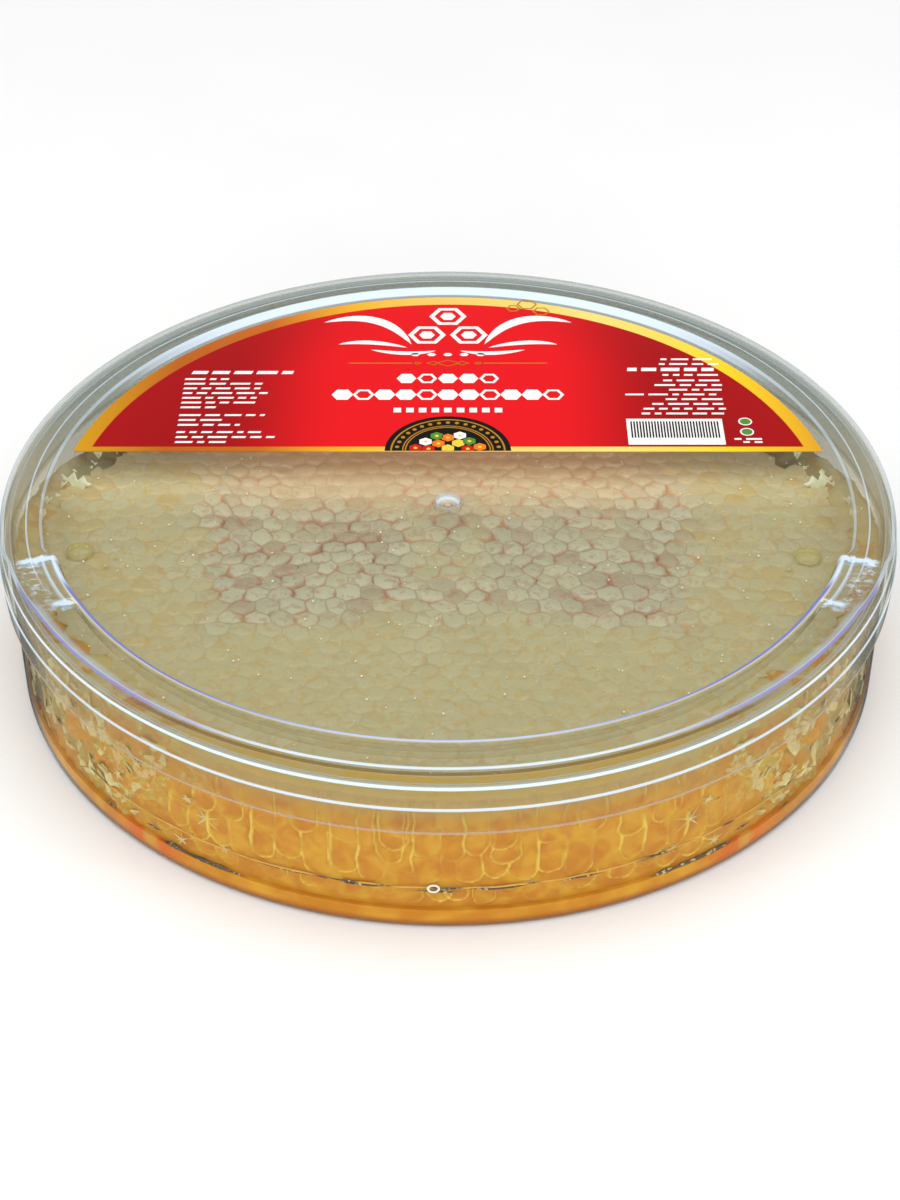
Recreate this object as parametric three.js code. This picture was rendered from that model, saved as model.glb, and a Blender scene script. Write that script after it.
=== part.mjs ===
import * as THREE from 'three';

// A disc of comb honey in its round clear tub with a press-on lid, in millimetres, +Z up.
// The origin is at the centre of the tub's underside, and the lid's raised crescent faces -Y.
// An azimuth is counted from the front, -Y, and grows towards +X.

// Driving dimensions: the lid
const lidRadius = 110;
const rimHeight = 44;
const panelRecess = 2;
const panelRadius = 98.4;
const rimInner = 100.2;
const rimOuter = 109.3;
const edgeRound = 0.7;
const lidWall = 1.1;
const skirtDrop = 13.5;
const skirtStepDrop = 6;
const skirtBulge = 0.8;
const skirtFlare = 0.2;
const crescentRise = 4;
const crescentSlope = 1.2;
const crescentInner = 97.6;
const crescentOuter = 108.5;
const crescentFull = 60;
const crescentEnd = 75;

// The tub
const tubWall = 1.2;
const tubMouthRadius = 108.4;
const tubHeelRadius = 108;
const tubHeelHeight = 1.8;
const tubHeelRound = 0.4;
const tubFootRadius = 106.9;
const gap = 0.3;

// The comb and its cells
const combRadius = 105.8;
const combTop = 34;
const cellPitch = 5.58;
const cornerRadius = cellPitch / Math.sqrt(3);
const capDome = 1.1;
const capUnevenness = 0.9;
const cornerShift = 0.7;
const midribHeight = 18;
const midribHalfGap = 2.2;
const midribGroove = 0.7;
const cellGroove = cellPitch;

// A torn bay at each side of the comb, with flakes of wax standing up along it
const bayAzimuth = 118;
const bayHalfWidth = 17;
const bayDepth = 13;
const flakeRise = 3.4;
const flakeRing = 9;

// The comb's side is rough and worn away from the front
const roughStart = 38;
const roughFull = 53;
const roughDepth = 1.6;

// The honey under the comb and the label on the lid
const honeyDepth = 3.2;
const honeyFloor = tubWall + gap;
const combBottom = honeyFloor + honeyDepth + gap;
const labelRadius = 97.4;
const labelChord = 20;
const labelThickness = 0.25;
const labelLift = 0.1;

const segments = 72;
const degree = Math.PI / 180;

// A repeatable draw between 0 and 1
const drawRange = 2 ** 32;
let drawState = 2024;
function draw() {
  drawState = (drawState * 1664525 + 1013904223) % drawRange;
  return drawState / drawRange;
}

function unevenly(amount) {
  return (draw() - 0.5) * amount;
}

function smoothStep(from, to, value) {
  const t = Math.min(Math.max((value - from) / (to - from), 0), 1);
  return t * t * (3 - 2 * t);
}

function foldedAzimuth(azimuth) {
  return Math.abs(Math.atan2(Math.sin(azimuth), Math.cos(azimuth))) / degree;
}

function meshGeometry(positions, indices) {
  const geometry = new THREE.BufferGeometry();
  geometry.setAttribute('position', new THREE.Float32BufferAttribute(positions, 3));
  geometry.setIndex(indices);
  geometry.computeVertexNormals();
  return geometry;
}

// A closed body turned round the axis, from a profile of [radius, height] points that may
// change with the azimuth. The profile starts and ends on the axis, material on its right.
function turnedBody(profileAt) {
  const positions = [];
  const indices = [];
  const poles = [profileAt(0)[0], profileAt(0).at(-1)];
  const ringCount = profileAt(0).length - 2;
  for (let step = 0; step < segments; step += 1) {
    const azimuth = step * 2 * Math.PI / segments;
    for (const [radius, height] of profileAt(azimuth).slice(1, -1)) {
      positions.push(radius * Math.sin(azimuth), -radius * Math.cos(azimuth), height);
    }
  }
  const startPole = segments * ringCount;
  const endPole = startPole + 1;
  positions.push(...poles.flatMap(([radius, height]) => [radius, 0, height]));
  for (let step = 0; step < segments; step += 1) {
    const here = step * ringCount;
    const next = ((step + 1) % segments) * ringCount;
    indices.push(startPole, here, next);
    for (let ring = 0; ring < ringCount - 1; ring += 1) {
      indices.push(here + ring, here + ring + 1, next + ring + 1);
      indices.push(here + ring, next + ring + 1, next + ring);
    }
    indices.push(endPole, next + ringCount - 1, here + ringCount - 1);
  }
  return meshGeometry(positions, indices);
}

// The lid: a sunk panel, a flat rim that rises into a hollow crescent over the front, and a
// stepped skirt round the tub's mouth.
function lidProfile(azimuth) {
  const panel = rimHeight - panelRecess;
  const step = rimHeight - skirtStepDrop;
  const crest = rimHeight + crescentRise;
  const crestInner = crest - crescentSlope;
  const raise = 1 - smoothStep(crescentFull, crescentEnd, foldedAzimuth(azimuth));
  const between = (plain, raised) => [
    THREE.MathUtils.lerp(plain[0], raised[0], raise),
    THREE.MathUtils.lerp(plain[1], raised[1], raise),
  ];
  return [
    [0, panel],
    between([panelRadius, panel], [crescentInner - edgeRound, panel]),
    between([rimInner, rimHeight - edgeRound / 3], [crescentInner, crestInner - edgeRound / 3]),
    between([rimInner + 4, rimHeight], [crescentInner + edgeRound, crestInner]),
    between([rimOuter, rimHeight], [crescentOuter, crest]),
    [lidRadius, rimHeight - edgeRound],
    [lidRadius, step + edgeRound],
    [lidRadius + skirtBulge, step],
    [lidRadius + skirtFlare, rimHeight - skirtDrop],
    [lidRadius + skirtFlare - lidWall, rimHeight - skirtDrop],
    [lidRadius - skirtFlare, step - skirtBulge],
    [lidRadius - lidWall, rimHeight - lidWall],
    between([rimOuter - 2 * lidWall, rimHeight - lidWall], [crescentOuter - lidWall, crest - lidWall]),
    between([rimInner + lidWall, rimHeight - lidWall], [crescentInner + lidWall, crestInner - lidWall]),
    between([panelRadius + edgeRound, panel - lidWall], [crescentInner + edgeRound, panel - lidWall]),
    [0, panel - lidWall],
  ];
}

// The tub: a flat base with a rounded heel and a wall that opens out a little to its mouth.
function tubProfile() {
  const mouthHeight = rimHeight - lidWall - gap;
  return [
    [0, tubWall],
    [tubFootRadius - edgeRound, tubWall],
    [tubHeelRadius - tubHeelRound - tubWall, tubWall + tubHeelRound],
    [tubHeelRadius - tubWall, tubHeelHeight + tubWall],
    [tubMouthRadius - tubWall, mouthHeight],
    [tubMouthRadius, mouthHeight],
    [tubHeelRadius, tubHeelHeight],
    [tubHeelRadius - tubHeelRound, tubHeelRound],
    [tubFootRadius, 0],
    [0, 0],
  ];
}

// The honey that has run out under the comb, up to the cells' lower edge.
function honeyProfile() {
  return [
    [0, honeyFloor + honeyDepth],
    [combRadius, honeyFloor + honeyDepth],
    [tubHeelRadius - tubHeelRound - tubWall - gap, honeyFloor + tubHeelRound],
    [tubFootRadius - edgeRound - gap, honeyFloor],
    [0, honeyFloor],
  ];
}

// How much of a torn bay there is at an azimuth, from 0 to 1.
function bayShare(azimuth) {
  const offset = (foldedAzimuth(azimuth) - bayAzimuth) / bayHalfWidth;
  return Math.exp(-offset * offset);
}

// How far out the comb reaches: to the tub's wall, less at the bays.
function combReach(azimuth) {
  return combRadius - bayDepth * bayShare(azimuth);
}

function azimuthOf(x, y) {
  return Math.atan2(x, -y);
}

// The centres of the whole cells that fit in the comb's outline.
function cellCentres() {
  const centres = [];
  const rowStep = cellPitch * Math.sqrt(3) / 2;
  const rows = Math.ceil(combRadius / rowStep);
  for (let row = -rows; row <= rows; row += 1) {
    const shift = (row & 1) * cellPitch / 2;
    for (let column = -rows; column <= rows; column += 1) {
      const x = column * cellPitch + shift;
      const y = row * rowStep;
      if (Math.hypot(x, y) + cornerRadius <= combReach(azimuthOf(x, y))) {
        centres.push([x, y]);
      }
    }
  }
  return centres;
}

// The capped top of the comb: an uneven low dome over every cell, its corners shared with the
// cells beside it. onwardFrom gives, for a corner on the rim, the next one round the comb.
function cappedCells() {
  const positions = [];
  const indices = [];
  const cornerAt = new Map();
  const cellsAtCorner = new Map();
  const onwardFrom = new Map();

  function cornerIndex(x, y) {
    const place = `${Math.round(2 * x / cellPitch)} ${Math.round(2 * y / cornerRadius)}`;
    if (!cornerAt.has(place)) {
      cornerAt.set(place, positions.length / 3);
      positions.push(x + unevenly(cornerShift), y + unevenly(cornerShift));
      positions.push(combTop - capDome + unevenly(capUnevenness));
    }
    const index = cornerAt.get(place);
    cellsAtCorner.set(index, (cellsAtCorner.get(index) ?? 0) + 1);
    return index;
  }

  for (const [x, y] of cellCentres()) {
    const azimuth = azimuthOf(x, y);
    const edgeShare = smoothStep(flakeRing, flakeRing / 3, combReach(azimuth) - Math.hypot(x, y));
    const flake = flakeRise * bayShare(azimuth) * edgeShare * draw();
    const corners = [];
    for (let turn = 30; turn < 390; turn += 60) {
      const cornerX = x + cornerRadius * Math.cos(turn * degree);
      const cornerY = y + cornerRadius * Math.sin(turn * degree);
      corners.push(cornerIndex(cornerX, cornerY));
    }
    const cap = positions.length / 3;
    positions.push(x, y, combTop + unevenly(capUnevenness) + flake);
    corners.forEach((from, i) => {
      const to = corners[(i + 1) % corners.length];
      indices.push(cap, from, to);
      const crossed = onwardFrom.get(to);
      if (crossed !== undefined && crossed.has(from)) {
        crossed.delete(from);
      } else {
        onwardFrom.set(from, (onwardFrom.get(from) ?? new Set()).add(to));
      }
    });
  }
  return { positions, indices, cellsAtCorner, onwardFrom };
}

// The rim's corners in order round the comb.
function rimCorners(onwardFrom) {
  const rim = [];
  const first = [...onwardFrom.keys()].find((corner) => onwardFrom.get(corner).size > 0);
  let corner = first;
  do {
    rim.push(corner);
    corner = [...onwardFrom.get(corner)][0];
  } while (corner !== first);
  return rim;
}

// The comb: two layers of six-sided cells on a midrib. A rim corner of one cell is a ridge that
// stands out to the tub's wall, and one that two cells share is a groove between upright flutes.
function combGeometry() {
  const { positions, indices, cellsAtCorner, onwardFrom } = cappedCells();
  const rim = rimCorners(onwardFrom);

  function addRing(height, groove) {
    return rim.map((corner) => {
      const [x, y] = positions.slice(3 * corner, 3 * corner + 2);
      const azimuth = azimuthOf(x, y);
      const rough = smoothStep(roughStart, roughFull, foldedAzimuth(azimuth));
      const isRidge = cellsAtCorner.get(corner) === 1;
      const depth = isRidge ? 0 : Math.min(groove, combReach(azimuth) - Math.hypot(x, y));
      const radius = combReach(azimuth) - depth - roughDepth * rough * draw();
      positions.push(radius * Math.sin(azimuth), -radius * Math.cos(azimuth), height);
      return positions.length / 3 - 1;
    });
  }

  for (const corner of rim.filter((index) => cellsAtCorner.get(index) === 1)) {
    const azimuth = azimuthOf(positions[3 * corner], positions[3 * corner + 1]);
    positions[3 * corner] = combReach(azimuth) * Math.sin(azimuth);
    positions[3 * corner + 1] = -combReach(azimuth) * Math.cos(azimuth);
  }
  const aboveMidrib = addRing(midribHeight + midribHalfGap, cellGroove);
  const midrib = addRing(midribHeight, midribGroove);
  const base = addRing(combBottom, cellGroove);
  for (const [upper, lower] of [[rim, aboveMidrib], [aboveMidrib, midrib], [midrib, base]]) {
    for (let i = 0; i < rim.length; i += 1) {
      const next = (i + 1) % rim.length;
      indices.push(upper[i], lower[i], lower[next]);
      indices.push(upper[i], lower[next], upper[next]);
    }
  }
  const outline = base.map((index) => new THREE.Vector2(positions[3 * index], positions[3 * index + 1]));
  for (const [a, b, c] of THREE.ShapeUtils.triangulateShape(outline, [])) {
    indices.push(base[a], base[c], base[b]);
  }
  return meshGeometry(positions, indices);
}

// The label: a half-moon skin on the back of the lid's panel.
function labelGeometry() {
  const chordTurn = Math.asin(labelChord / labelRadius);
  const outline = new THREE.Shape();
  outline.absarc(0, 0, labelRadius, chordTurn, Math.PI - chordTurn, false);
  outline.closePath();
  return new THREE.ExtrudeGeometry(outline, {
    depth: labelThickness,
    bevelEnabled: false,
    curveSegments: 48,
  });
}

function subPart(name, geometry, look, height = 0) {
  const mesh = new THREE.Mesh(geometry, new THREE.MeshStandardMaterial(look));
  mesh.name = name;
  mesh.position.z = height;
  return mesh;
}

const clearPlastic = { color: 0xdde6e2, roughness: 0.06, metalness: 0, transparent: true, opacity: 0.3 };
const combWax = { color: 0xd9cf9c, roughness: 0.5, metalness: 0 };
const amberHoney = { color: 0xc27a1a, roughness: 0.1, metalness: 0 };
const redPrint = { color: 0xc81a24, roughness: 0.35, metalness: 0 };

const group = new THREE.Group();
group.add(subPart('tub', turnedBody(tubProfile), clearPlastic));
group.add(subPart('honey_pool', turnedBody(honeyProfile), amberHoney));
group.add(subPart('honeycomb', combGeometry(), combWax));
group.add(subPart('lid', turnedBody(lidProfile), clearPlastic));
group.add(subPart('label', labelGeometry(), redPrint, rimHeight - panelRecess + labelLift));

export default group;
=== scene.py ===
import math
import random

import bmesh
import bpy
from mathutils import Matrix, Vector, noise


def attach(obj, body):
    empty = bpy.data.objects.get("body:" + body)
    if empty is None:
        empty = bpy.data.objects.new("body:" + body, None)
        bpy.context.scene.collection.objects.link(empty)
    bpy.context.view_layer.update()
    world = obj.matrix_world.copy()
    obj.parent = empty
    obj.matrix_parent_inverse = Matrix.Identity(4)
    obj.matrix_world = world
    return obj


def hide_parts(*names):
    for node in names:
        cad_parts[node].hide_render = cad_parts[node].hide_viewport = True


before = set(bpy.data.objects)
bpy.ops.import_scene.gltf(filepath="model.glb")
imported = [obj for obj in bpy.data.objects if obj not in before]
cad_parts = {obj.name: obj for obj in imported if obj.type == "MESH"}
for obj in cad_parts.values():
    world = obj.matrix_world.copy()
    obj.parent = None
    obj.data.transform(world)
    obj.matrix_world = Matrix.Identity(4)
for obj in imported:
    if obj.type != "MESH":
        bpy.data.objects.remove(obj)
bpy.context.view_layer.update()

# Comb honey in a shallow clear tub with a press-on lid. Lengths are in millimetres until a mesh
# is finished. An azimuth is in degrees from the front, -Y, and grows towards +X.
MM = 0.001

# The lid
LID_RADIUS = 110
RIM_HEIGHT = 44
PANEL_HEIGHT = 42
LID_WALL = 1.1
STEP_HEIGHT = 38
SKIRT_FOOT = 30.5
CREST_HEIGHT = 48
CREST_INNER_HEIGHT = 46.8
PANEL_EDGE = 95
BEAD_RADIUS = 103.4
GATE_DEPTH = 2.5
RAMP_START = 60
RAMP_END = 74

# The tub
TUB_WALL = 1.2
MOUTH_HEIGHT = 42.6
MOUTH_RADIUS = 108.4
HEEL_RADIUS = 108
HEEL_HEIGHT = 1.8
HEEL_ROUND = 0.4
FOOT_RADIUS = 106.9
WALL_FOOT = 3
WALL_RADIUS = 106.8
WALL_FLARE = 0.4

# The comb
COMB_TOP = 34
COMB_FOOT = 4.7
COMB_RADIUS = 105.8
SIDE_RADIUS = 107
CELL_PITCH = 5.58
CELL_CORNER = CELL_PITCH / math.sqrt(3)
BAY_AZIMUTH = 118
BAY_HALF_WIDTH = 17
BAY_DEPTH = 13
SEAM_HEIGHT = 11.6
HONEY_LEVEL = 5.2

# The label, and its straight edge as a share of the lid's radius
LABEL_CHORD = 20
LABEL_TOP = 42.35
CHORD = LABEL_CHORD / LID_RADIUS


# Shader values and finishes

class Value:
    """A shader value. A sum with another value or a number adds its Math node."""

    def __init__(self, finish, socket):
        self.finish = finish
        self.socket = socket

    def math(self, operation, *others):
        node = self.finish.node("Math", {"operation": operation}, dict(enumerate([self, *others])))
        return Value(self.finish, node.outputs[0])

    def __add__(self, other):
        return self.math("ADD", other)

    __radd__ = __add__

    def __sub__(self, other):
        return self.math("SUBTRACT", other)

    def __rsub__(self, number):
        node = self.finish.node("Math", {"operation": "SUBTRACT"}, {0: number, 1: self})
        return Value(self.finish, node.outputs[0])

    def __mul__(self, other):
        return self.math("MULTIPLY", other)

    __rmul__ = __mul__

    def __truediv__(self, other):
        return self.math("DIVIDE", other)

    def __pow__(self, other):
        return self.math("POWER", other)

    def __abs__(self):
        return self.math("ABSOLUTE")

    def held(self):
        """The value kept between 0 and 1."""
        return self.span(0, 1, "LINEAR")

    def span(self, low, high, ease="SMOOTHSTEP"):
        """0 at low, 1 at high, and eased between them."""
        sockets = {"Value": self, "From Min": low, "From Max": high}
        node = self.finish.node("MapRange", {"interpolation_type": ease}, sockets)
        return Value(self.finish, node.outputs[0])


class Finish:
    """A material and the nodes that it is made of."""

    def __init__(self, name):
        self.material = bpy.data.materials.new(name)
        self.material.use_nodes = True
        self.tree = self.material.node_tree
        self.tree.nodes.clear()

    def node(self, kind, settings=None, sockets=None, stops=None):
        """Any node: its settings first, then the values or links of its sockets."""
        node = self.tree.nodes.new("ShaderNode" + kind)
        for key, setting in (settings or {}).items():
            setattr(node, key, setting)
        if stops:
            while len(node.color_ramp.elements) < len(stops):
                node.color_ramp.elements.new(1)
            for element, (place, colour) in zip(node.color_ramp.elements, stops):
                element.position = place
                element.color = (*colour, 1)
        for key, given in (sockets or {}).items():
            socket = node.inputs[key]
            if isinstance(given, Value):
                self.tree.links.new(given.socket, socket)
            elif socket.type == "RGBA":
                socket.default_value = (*given[:3], 1)
            else:
                socket.default_value = given
        return node

    def get(self, kind, out=0, **parts):
        """One output of a new node, as a value."""
        return Value(self, self.node(kind, **parts).outputs[out])

    def place(self):
        """Object coordinates in millimetres."""
        sockets = {"Vector": self.get("TexCoord", "Object"), "Scale": Vector((1, 1, 1)) / MM}
        return self.get("Mapping", settings={"vector_type": "POINT"}, sockets=sockets)

    def axes(self):
        """The object coordinates x, y and z in millimetres."""
        parts = self.node("SeparateXYZ", sockets={0: self.place()})
        return [Value(self, parts.outputs[i]) for i in range(3)]

    def attributes(self, *names):
        """Vertex values by name, as a list, or the one value if there is one name."""
        values = [self.get("Attribute", "Fac", settings={"attribute_name": name}) for name in names]
        return values if len(values) > 1 else values[0]

    def grain(self, size, detail=3, rough=0.5, warp=0):
        """Noise between 0 and 1 whose lumps are about size millimetres across."""
        return self.get("TexNoise", sockets={
            "Vector": self.place(), "Scale": 1 / size, "Detail": detail,
            "Roughness": rough, "Distortion": warp,
        })

    def blend(self, first, second, share):
        """A colour between two others."""
        node = self.node("Mix", {"data_type": "RGBA"}, {0: share, 6: first, 7: second})
        return Value(self, node.outputs[2])

    def bump(self, height, distance, strength=1.0):
        """A normal from a height, whose full range stands for distance millimetres."""
        sockets = {"Height": height, "Distance": distance * MM, "Strength": strength}
        return self.get("Bump", sockets=sockets)

    def between(self, first, second, share):
        """A shader mixed from two."""
        return self.get("MixShader", sockets={0: share, 1: first, 2: second})

    def principled(self, **sockets):
        names = {key.replace("_", " "): given for key, given in sockets.items()}
        return self.get("BsdfPrincipled", sockets=names)

    def done(self, shader):
        self.node("OutputMaterial", sockets={"Surface": shader})
        return self.material


def line(value, centre, half, fade):
    """1 within half of a centre and 0 beyond fade."""
    return 1 - abs(value - centre).span(half, fade)


def colour(red, green, blue):
    """A screen colour, 0 to 255, as a linear one."""
    return tuple((channel / 255) ** 2.2 for channel in (red, green, blue))


def painted_ramp_highlights(finish, around, reach, height):
    """Painted highlights: bright bands round the flat ramps at the crescent's two ends.

    Azimuths are in degrees. The bands lie where each ramp starts and ends, with thin lines and
    blotches between them.
    """
    rough = finish.grain(2.4, 4, 0.62)
    ragged = around + (rough - 0.5) * 3.0
    upper = line(ragged, RAMP_END - 0.6, 0.2, 1.0) * 0.8 * reach.span(107.5, 105)
    lower = line(ragged, RAMP_START + 0.6, 0.3, 1.2) * rough.span(0.36, 0.52) * reach.span(106.5, 102)
    on_ramp = around.span(RAMP_START, RAMP_START + 1) * (1 - around.span(RAMP_END - 0.6, RAMP_END + 0.4))
    lines = line(reach, 98.4, 0.1, 0.6) * 0.7 + line(reach, 100.8, 0.1, 0.5) * 0.5
    blotch = rough.span(0.52, 0.62) * line(reach, 104.5, 0.5, 4.0) * 0.5
    ramp_highlight = (upper + lower + (lines + blotch + 0.08) * on_ramp).held()
    return ramp_highlight * reach.span(96.2, 96.8) * (1 - reach.span(107.6, 108.4)) * height.span(42.3, 42.9)


def clear_plastic(name, tint, deep_tint, haze_front, haze_back, glow, with_painted_lines=False):
    """Thin clear moulding: tinted more at a glance, misty where its attributes say, and lit by
    painted highlights that glow where its edge values say.

    The lid has more painted lines: a violet highlight runs along its crescent's inner crest, a cream
    highlight beside it, a grey and violet tint on the highlight outside, a darker painted line at the
    skirt's foot and a painted dark shadow line under the crest.
    """
    finish = Finish(name)
    facing = finish.get("LayerWeight", "Facing", sockets={"Blend": 0.5})
    edge, mist = finish.attributes("edge", "mist")
    clear = finish.get("BsdfTransparent", sockets={"Color": tint})
    deep = finish.get("BsdfTransparent", sockets={"Color": deep_tint})
    walls = finish.between(clear, deep, facing.span(0.74, 0.98))
    x, y, z = finish.axes()
    reach = (x * x + y * y).math("SQRT")
    haze = finish.blend(haze_front, haze_back, y.span(-20, 60))
    # Painted highlights: this colour, and the lines mixed into it below, glows where the edge values and
    # the lid's masks say.
    white = colour(196, 212, 226)
    bright = edge
    if with_painted_lines:
        around = abs(x.math("ARCTAN2", y * -1)) * (180 / math.pi)
        crest = (1 - around.span(64, 72)) * z.span(45.0, 46.0)
        violet = finish.blend(colour(176, 188, 236), colour(96, 98, 176), around.span(6, 40))
        # Painted lines on the crescent: violet and cream highlights at its inner crest, grey and violet
        # tints on its outer highlight, a darker line at the skirt's foot and a dark shadow line under the
        # crest.
        inner = crest * line(reach, 97.8, 0.65, 1.05)
        cream = crest * line(reach, 99.2, 0.3, 0.7)
        outer = crest * reach.span(105.8, 106.4) * around.span(18, 42)
        foot = line(z, SKIRT_FOOT + 0.3, 0.25, 0.6) * reach.span(109.6, LID_RADIUS)
        under = line(z, 46.7, 0.3, 0.7) * reach.span(108.5, 108.8) * (1 - around.span(34, 48))
        white = finish.blend(white, violet, inner * 0.9)
        white = finish.blend(white, colour(214, 206, 170), cream)
        white = finish.blend(white, colour(160, 174, 182), outer * 0.8)
        white = finish.blend(white, colour(128, 128, 186), outer * reach.span(108.0, 108.4))
        white = finish.blend(white, colour(176, 158, 140), foot)
        white = finish.blend(white, colour(84, 64, 36), under)
        ramp_highlight = painted_ramp_highlights(finish, around, reach, z)
        bright = (edge + ramp_highlight + under * 0.55 + inner * 0.7 + foot * 0.5).held()
    body = finish.principled(
        Base_Color=finish.blend(haze, white, bright.span(0.0, 0.4)), Roughness=0.22,
        Specular_IOR_Level=0.2, Emission_Color=finish.blend((0, 0, 0), white, bright),
        Emission_Strength=glow,
    )
    misted = finish.between(walls, body, (mist + bright * 0.9).held())
    gloss = finish.get("BsdfGlossy", sockets={"Color": (1, 1, 1), "Roughness": 0.03})
    return finish.done(finish.between(misted, gloss, facing ** 5 * 0.14 + 0.008))


def capped_wax():
    """Pale beeswax caps: grey-cream tops, painted shade and rusty shadows between them, a golden film in
    places.
    """
    finish = Finish("capped_wax")
    lift, sink, tone, film, wet = finish.attributes("lift", "sink", "tone", "film", "wet")
    x, y, _ = finish.axes()
    x = abs(x)
    fine = finish.grain(1.1, 4, 0.6)
    mottle = finish.grain(2.6, 4, 0.62, warp=0.8)
    top = finish.blend(colour(166, 162, 138), colour(188, 184, 160), tone)
    mauve = finish.blend(colour(164, 138, 116), colour(184, 158, 100), film)
    top = finish.blend(top, colour(181, 171, 129), film * 0.8)
    dull = (mottle.span(0.52, 0.6) * 0.6 + (1 - tone.span(0.08, 0.2)) * (1 - film) * 0.45).held()
    top = finish.blend(top, mauve, dull)
    top = finish.blend(top, colour(190, 160, 90), wet * 0.45)
    top = finish.blend(top, colour(208, 206, 178), fine.span(0.6, 0.72) * 0.45)
    # Painted shade in the gaps between caps, and a rusty painted shadow where the gaps are deep, on the
    # caps' front sides.
    crease_shade = finish.blend(colour(158, 136, 112), colour(164, 148, 100), film)
    rusty_shadow = finish.blend(colour(160, 104, 82), colour(184, 132, 66), (x.span(45, 75) + film).held())
    gap = finish.blend(crease_shade, rusty_shadow, sink.span(0.1, 0.55))
    gap = finish.blend(gap, colour(196, 140, 44), wet * 0.8)
    shade = finish.blend(gap, top, lift.span(0.0, 0.8))
    # A painted warm glow, as if light from the red label fell on the caps in front of it.
    label_light = y.span(-14, 19) ** 1.5 * (1 - x.span(38, 84))
    warmed = finish.blend(shade, colour(206, 172, 130), label_light * 0.36)
    glow = finish.blend((0, 0, 0), finish.blend(warmed, colour(206, 172, 126), label_light), y.span(0, 19))
    rough = 0.62 - wet * 0.3 - fine.span(0.55, 0.8) * 0.12
    height = fine * 0.6 + finish.grain(0.45, 3, 0.6) * 0.4
    return finish.done(finish.principled(
        Base_Color=warmed, Roughness=rough, Coat_Weight=(wet * 0.6 + 0.06).held(),
        Coat_Roughness=0.12, Specular_IOR_Level=0.3, Normal=finish.bump(height, 0.22, 0.6),
        Emission_Color=glow, Emission_Strength=0.36,
    ))


def cut_comb():
    """The cut side of the comb: amber honey in pale walled cells, torn wax left and right, lit by a
    painted glow.
    """
    finish = Finish("cut_comb")
    rib, torn, amber, crest = finish.attributes("rib", "torn", "amber", "crest")
    x, y, z = finish.axes()
    x = abs(x)
    bay = 1 - abs(x.math("ARCTAN2", y * -1) * (180 / math.pi) - BAY_AZIMUTH).span(12, 27)
    cloud = finish.grain(5, 3, 0.55, warp=0.4)
    fine = finish.grain(1.2, 3, 0.6)
    honey = finish.blend(colour(192, 118, 10), colour(210, 154, 40), cloud.span(0.3, 0.7))
    cell = finish.blend(honey, colour(220, 188, 80), rib.span(0.15, 1.0) * 0.8)
    cell = finish.blend(cell, colour(188, 162, 104), z.span(30, 35) * 0.7)
    flakes = finish.grain(3.4, 4, 0.62, warp=1.2)
    wax = finish.blend(colour(188, 162, 72), colour(200, 138, 32), flakes.span(0.46, 0.54))
    wax = finish.blend(wax, colour(218, 206, 150), fine.span(0.52, 0.6) * flakes.span(0.5, 0.36))
    wax = finish.blend(wax, colour(148, 130, 70), x.span(72, 100) * cloud.span(0.25, 0.5) * 0.85)
    wax = finish.blend(wax, colour(198, 138, 34), amber)
    crack = finish.grain(2.2, 5, 0.7, warp=2.0)
    cracked = crack.span(0.66, 0.69) * (x.span(60, 95) * 0.6 + 0.35)
    wax = finish.blend(wax, colour(44, 34, 16), cracked)
    side = finish.blend(cell, wax, torn)
    side = finish.blend(side, colour(176, 110, 14), (1 - z.span(4.6, 8.0)) * 0.4)
    patch = finish.grain(7, 3).span(0.45, 0.62)
    olive = finish.blend(colour(206, 166, 64), colour(198, 172, 100), patch)
    patch = finish.grain(8, 3).span(0.53, 0.6)
    film = finish.blend(colour(190, 172, 112), colour(190, 132, 30), patch)
    olive = finish.blend(olive, film, x.span(44, 74))
    golden = finish.blend(olive, colour(206, 172, 82), rib * 0.6)
    shade = finish.blend(side, golden, crest)
    misty = bay * z.span(16, 28) * (0.8 - fine.span(0.5, 0.6) * 0.3)
    shade = finish.blend(shade, colour(160, 156, 126), misty)
    # A painted amber glow on the cut side, fainter towards the sides, as if light shone through the
    # honey.
    glow = finish.blend((0, 0, 0), shade, (1 - crest) * (0.5 - x.span(50, 95) * 0.25))
    return finish.done(finish.principled(
        Base_Color=shade, Roughness=0.42 - (1 - torn) * 0.1, Coat_Weight=0.1, Coat_Roughness=0.1,
        Specular_IOR_Level=0.2, Emission_Color=glow, Emission_Strength=0.24,
        Normal=finish.bump(fine * 0.5 + flakes * 0.5, 0.5, 0.5),
    ))


def torn_wax(name, body, edge, glow):
    """Broken comb: pale at its thin edges, amber where honey soaks it, with a painted glow of its own
    colour.
    """
    finish = Finish(name)
    fine = finish.grain(0.9, 3, 0.6)
    soaked, rim = finish.attributes("soaked", "rim")
    golden = finish.blend(body, colour(208, 144, 44), soaked)
    pale = finish.blend(golden, edge, (rim ** 3 * (1 - soaked * 0.6)).held())
    pale = finish.blend(pale, tuple(channel * 0.7 for channel in body), fine.span(0.5, 0.66) * 0.5)
    return finish.done(finish.principled(
        Base_Color=pale, Roughness=0.42, Coat_Weight=0.15, Coat_Roughness=0.15,
        Specular_IOR_Level=0.3, Normal=finish.bump(fine, 0.2, 0.6),
        Emission_Color=pale, Emission_Strength=glow,
    ))


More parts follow.
